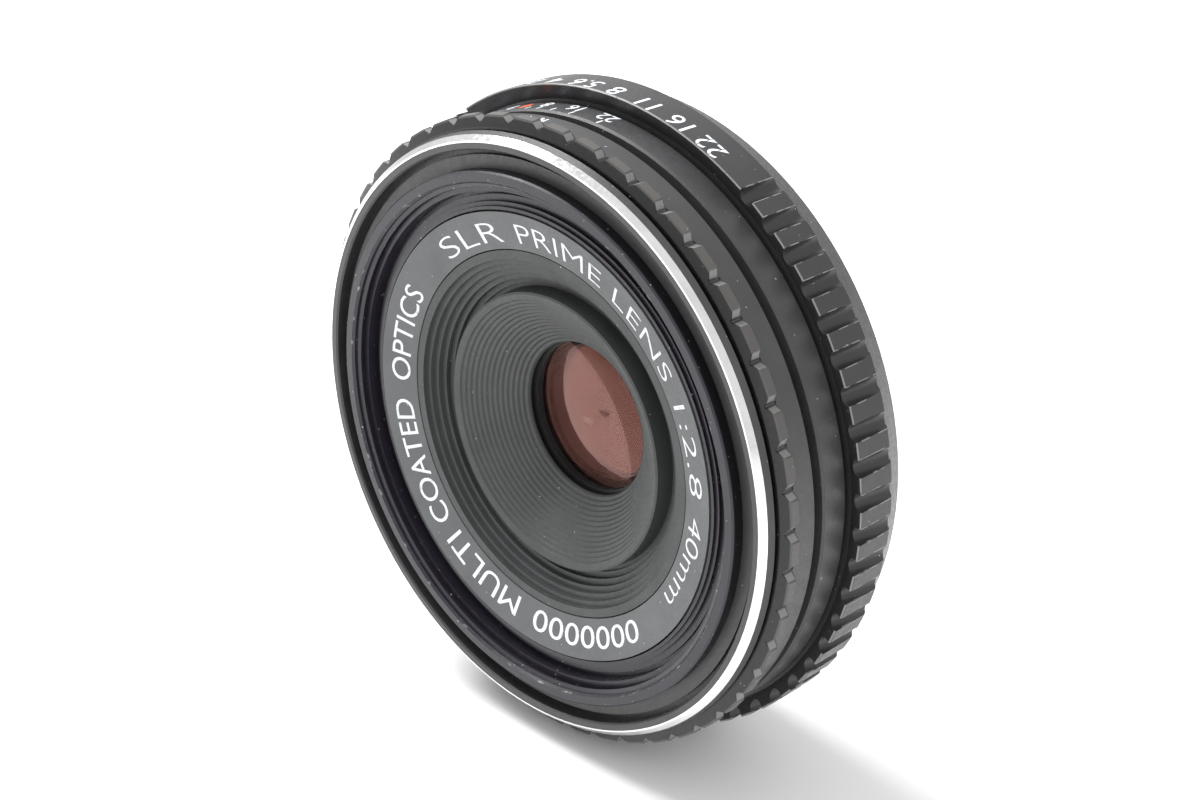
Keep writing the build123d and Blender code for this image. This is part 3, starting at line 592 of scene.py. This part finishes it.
def filter_thread():
    """One helical ridge that fades out at both ends."""
    shape = bmesh.new()
    turns = (THREAD_END - THREAD_START) / THREAD_PITCH
    count = int(turns * STEPS_PER_TURN)
    rows = []
    for i in range(count + 1):
        angle = math.tau * i / STEPS_PER_TURN
        middle = THREAD_START + THREAD_PITCH * i / STEPS_PER_TURN
        fade = min(1.0, i / FADE_STEPS, (count - i) / FADE_STEPS)
        faded_tip = THREAD_ROOT_R - THREAD_LEAST
        tip = faded_tip - (faded_tip - THREAD_TIP_R) * fade
        outline = [
            (THREAD_ROOT_R, middle - THREAD_HALF_FOOT),
            (tip, middle - THREAD_HALF_TIP),
            (tip, middle + THREAD_HALF_TIP),
            (THREAD_ROOT_R, middle + THREAD_HALF_FOOT),
        ]
        rows.append([shape.verts.new(point(r, s, angle)) for r, s in outline])
    for here, ahead in zip(rows, rows[1:]):
        for k in range(4):
            j = (k + 1) % 4
            shape.faces.new((here[k], here[j], ahead[j], ahead[k]))
    shape.faces.new(list(reversed(rows[0])))
    shape.faces.new(rows[-1])
    return shape


finish_piece("filter_thread_ridge", filter_thread(), filter_black, "lens_block")


# ---------------------------------------------------------------- floor, light and camera

FLOOR_SIZE = 4.0
floor_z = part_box("aperture_ring")[0].z
floor_mesh = bpy.data.meshes.new("floor")
half = FLOOR_SIZE / 2
corners = [(-half, -half, floor_z), (half, -half, floor_z), (half, half, floor_z), (-half, half, floor_z)]
floor_mesh.from_pydata(corners, [], [(0, 1, 2, 3)])
floor = bpy.data.objects.new("floor", floor_mesh)
bpy.context.scene.collection.objects.link(floor)
paper = Shader("paper")
paper_white = paper.mix(paper.noise(40.0), (0.90, 0.90, 0.90), (0.93, 0.93, 0.93))
paper.join(paper_white, paper.surface.inputs["Base Color"])
paper.surface.inputs["Roughness"].default_value = 0.9
floor_mesh.materials.append(paper.material)


def area_light(name, position, size, power):
    data = bpy.data.lights.new(name, "AREA")
    data.size = size
    data.energy = power
    light = bpy.data.objects.new(name, data)
    light.location = position
    light.rotation_mode = "QUATERNION"
    light.rotation_quaternion = (-Vector(position)).to_track_quat("-Z", "Y")
    bpy.context.scene.collection.objects.link(light)


area_light("top_light", (-0.36, -0.04, 0.50), size=0.36, power=6.2)
area_light("side_light", (0.55, -0.15, 0.35), size=0.35, power=0.8)

WORLD_STRENGTH = 0.90
world = bpy.data.worlds.new("studio")
world.use_nodes = True
background = world.node_tree.nodes["Background"]
background.inputs["Color"].default_value = (1.0, 1.0, 1.0, 1.0)
background.inputs["Strength"].default_value = WORLD_STRENGTH
bpy.context.scene.world = world
bpy.context.scene.view_settings.view_transform = "Standard"

# The angles give the line from the origin of the row frame to the camera, which faces back along it. The
# camera is moved left and down from that line, in millimetres, so that the object stands a little right of
# the middle of the picture and above it.
AZIMUTH = math.radians(44.9)
ELEVATION = math.radians(25.18)
ROLL = math.radians(0.09)
DISTANCE = 200.0
ASIDE = 5.65
UPWARD = 1.20
FOCAL = 61.88

back = Vector(
    (math.sin(AZIMUTH) * math.cos(ELEVATION), -math.cos(AZIMUTH) * math.cos(ELEVATION), math.sin(ELEVATION))
)
level = Vector((math.cos(AZIMUTH), math.sin(AZIMUTH), 0.0))
above = back.cross(level)
right = level * math.cos(ROLL) + above * math.sin(ROLL)
up = above * math.cos(ROLL) - level * math.sin(ROLL)

camera_data = bpy.data.cameras.new("camera")
camera_data.sensor_width = 36.0
camera_data.sensor_fit = "HORIZONTAL"
camera_data.lens = FOCAL
camera_data.clip_start = 0.001
camera = bpy.data.objects.new("camera", camera_data)
camera.rotation_mode = "QUATERNION"
camera.location = (back * DISTANCE - right * ASIDE - up * UPWARD) * MM
camera.rotation_quaternion = Matrix((right, up, back)).transposed().to_quaternion()
bpy.context.scene.collection.objects.link(camera)
bpy.context.scene.camera = camera
